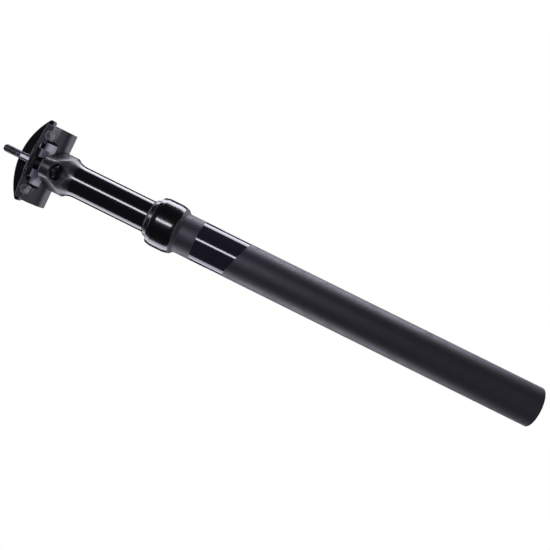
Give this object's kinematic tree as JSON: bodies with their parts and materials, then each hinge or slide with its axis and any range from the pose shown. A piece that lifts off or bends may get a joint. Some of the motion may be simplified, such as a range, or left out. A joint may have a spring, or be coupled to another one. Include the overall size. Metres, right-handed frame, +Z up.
{
  "type": "bicycle seatpost",
  "caption": "Telescoping sprung seatpost with a collar nut, a forged head and a two-bolt inline saddle rail clamp.",
  "frame": {"origin": "on the post's axis at the bottom end of the outer tube", "axes": "+Z up along the post towards the saddle, X across the bicycle, -Y towards the front"},
  "size_m": [0.0664, 0.0568, 0.435],
  "materials": {
    "tube_black": "matte black anodised, with one gloss band",
    "collar_black": "gloss black anodised",
    "seal_rubber": "satin black rubber",
    "bush_plastic": "natural white acetal",
    "key_brass": "machined",
    "plug_aluminium": "machined",
    "steel": "zinc plated",
    "spring_steel": "oiled spring steel",
    "bumper_rubber": "soft urethane",
    "head_black": "polished black anodised forging",
    "lower_clamp_grey": "satin black anodised",
    "top_clamp_black": "matte black anodised",
    "bolt_black": "black oxide with a bright shank",
    "nut_black": "black oxide"
  },
  "bodies": {
    "outer": {"outer_tube": "tube_black", "collar_nut": "collar_black", "wiper_seal": "seal_rubber", "upper_bushing": "bush_plastic", "guide_keys": "key_brass", "preload_plug": "plug_aluminium", "spring_washer": "steel", "main_spring": "spring_steel", "bottom_bumper": "bumper_rubber"},
    "sliding_head": {"stanchion": "head_black", "lower_bushing": "bush_plastic", "top_out_ring": "bumper_rubber", "retaining_ring": "steel", "spring_plunger": "bush_plastic", "front_bolt": "bolt_black", "rear_bolt": "bolt_black", "front_washer": "bolt_black", "rear_washer": "bolt_black"},
    "saddle_clamp": {"lower_clamp": "lower_clamp_grey", "top_clamp": "top_clamp_black"},
    "front_nut": {"front_nut": "nut_black"},
    "rear_nut": {"rear_nut": "nut_black"}
  },
  "joints": [
    {"name": "stanchion_slide", "type": "slide", "parent": "outer", "child": "sliding_head", "axis": [0, 0, 1], "range_m": [-0.045, 0], "stiffness_N_per_m": 9000, "springref_m": 0.008, "deforming": ["main_spring"]},
    {"name": "clamp_tilt", "type": "hinge", "parent": "sliding_head", "child": "saddle_clamp", "pos_m": [0, 0, 0.4113], "axis": [1, 0, 0], "range_deg": [-7, 7]},
    {"name": "front_nut_pivot", "type": "hinge", "parent": "saddle_clamp", "child": "front_nut", "pos_m": [0, -0.02, 0.4117], "axis": [1, 0, 0], "range_deg": [-8, 8]},
    {"name": "rear_nut_pivot", "type": "hinge", "parent": "saddle_clamp", "child": "rear_nut", "pos_m": [0, 0.02, 0.4117], "axis": [1, 0, 0], "range_deg": [-8, 8]}
  ],
  "couplings": [
    {"joint": "front_nut_pivot", "follows": "clamp_tilt", "ratio": -1},
    {"joint": "rear_nut_pivot", "follows": "clamp_tilt", "ratio": -1}
  ]
}
